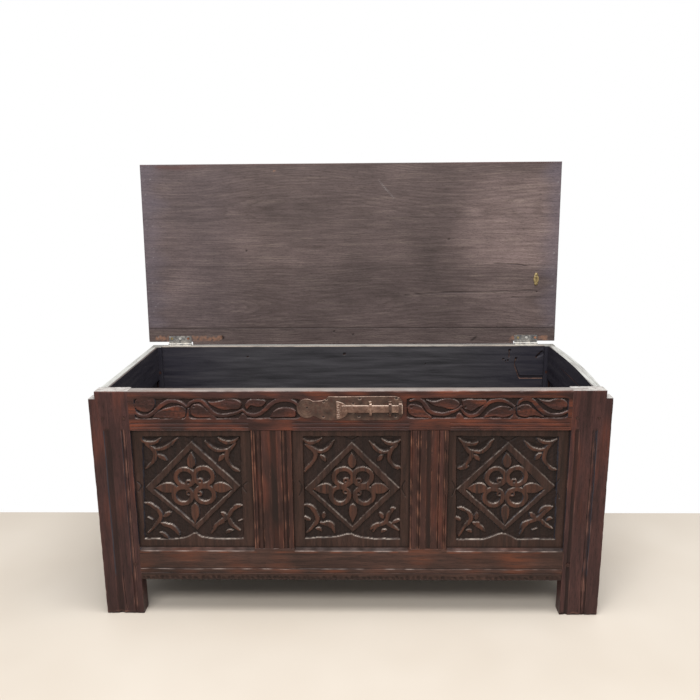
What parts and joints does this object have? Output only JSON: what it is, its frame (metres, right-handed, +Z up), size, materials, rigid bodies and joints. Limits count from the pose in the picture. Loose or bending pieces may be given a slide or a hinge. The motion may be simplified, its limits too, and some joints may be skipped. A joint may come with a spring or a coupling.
{
  "type": "coffer chest",
  "caption": "Joined oak coffer with carved front panels between moulded stiles, a hinged plank lid standing open and an iron bolt lock on the front rail.",
  "frame": {"origin": "on the floor, under the middle of the whole part's bounding box with the lid open", "axes": "+X to the part's right along its length, +Y from the front to the back, +Z up"},
  "size_m": [1.19, 0.536, 1.0722],
  "materials": {
    "oak_dark": "old oak, dark stain and wax, worn satin",
    "oak_red": "old oak, red-brown stain and wax, satin",
    "oak_panel": "old oak, dark and dry in the carving",
    "oak_inside": "unwaxed old oak, matt and dusty",
    "oak_lid": "unwaxed old oak, grey-brown, matt",
    "oak_peg": "oak end grain, waxed",
    "old_iron": "wrought iron, brown and rubbed bright on its high points",
    "hinge_steel": "dull bright steel",
    "old_brass": "tarnished brass"
  },
  "bodies": {
    "case": {"front_left_stile": "oak_dark", "front_right_stile": "oak_dark", "rear_left_stile": "oak_dark", "rear_right_stile": "oak_dark", "front_top_rail": "oak_red", "front_bottom_rail": "oak_red", "front_left_muntin": "oak_dark", "front_right_muntin": "oak_dark", "front_left_panel": "oak_panel", "front_middle_panel": "oak_panel", "front_right_panel": "oak_panel", "left_end_top_rail": "oak_dark", "left_end_bottom_rail": "oak_dark", "left_end_muntin": "oak_dark", "left_end_front_panel": "oak_panel", "left_end_rear_panel": "oak_panel", "right_end_top_rail": "oak_dark", "right_end_bottom_rail": "oak_dark", "right_end_muntin": "oak_dark", "right_end_front_panel": "oak_panel", "right_end_rear_panel": "oak_panel", "back_top_rail": "oak_dark", "back_bottom_rail": "oak_dark", "back_left_muntin": "oak_dark", "back_right_muntin": "oak_dark", "back_left_panel": "oak_panel", "back_middle_panel": "oak_panel", "back_right_panel": "oak_panel", "floor_board_1": "oak_inside", "floor_board_2": "oak_inside", "floor_board_3": "oak_inside", "floor_board_4": "oak_inside", "floor_board_5": "oak_inside", "front_left_top_peg": "oak_peg", "front_left_bottom_peg": "oak_peg", "rear_left_top_peg": "oak_peg", "rear_left_bottom_peg": "oak_peg", "left_corner_peg": "oak_peg", "front_right_top_peg": "oak_peg", "front_right_bottom_peg": "oak_peg", "rear_right_top_peg": "oak_peg", "rear_right_bottom_peg": "oak_peg", "right_corner_peg": "oak_peg", "left_hinge_case_leaf": "hinge_steel", "left_hinge_pin": "hinge_steel", "right_hinge_case_leaf": "hinge_steel", "right_hinge_pin": "hinge_steel", "lock_plate": "old_iron", "lock_first_strap": "old_iron", "lock_second_strap": "old_iron", "lock_keeper": "old_iron"},
    "lid": {"lid_hinge_board": "oak_lid", "lid_rear_board": "oak_lid", "lid_middle_board": "oak_lid", "lid_front_board": "oak_lid", "left_hinge_lid_leaf": "hinge_steel", "right_hinge_lid_leaf": "hinge_steel", "lid_stay_plate": "old_brass"},
    "bolt": {"lock_bolt": "old_iron"}
  },
  "joints": [
    {"name": "lid_hinge", "type": "hinge", "parent": "case", "child": "lid", "pos_m": [0, 0.22118, 0.5653], "axis": [1, 0, 0], "range_deg": [0, 93]},
    {"name": "bolt_slide", "type": "slide", "parent": "case", "child": "bolt", "axis": [1, 0, 0], "range_m": [-0.02, 0]}
  ]
}
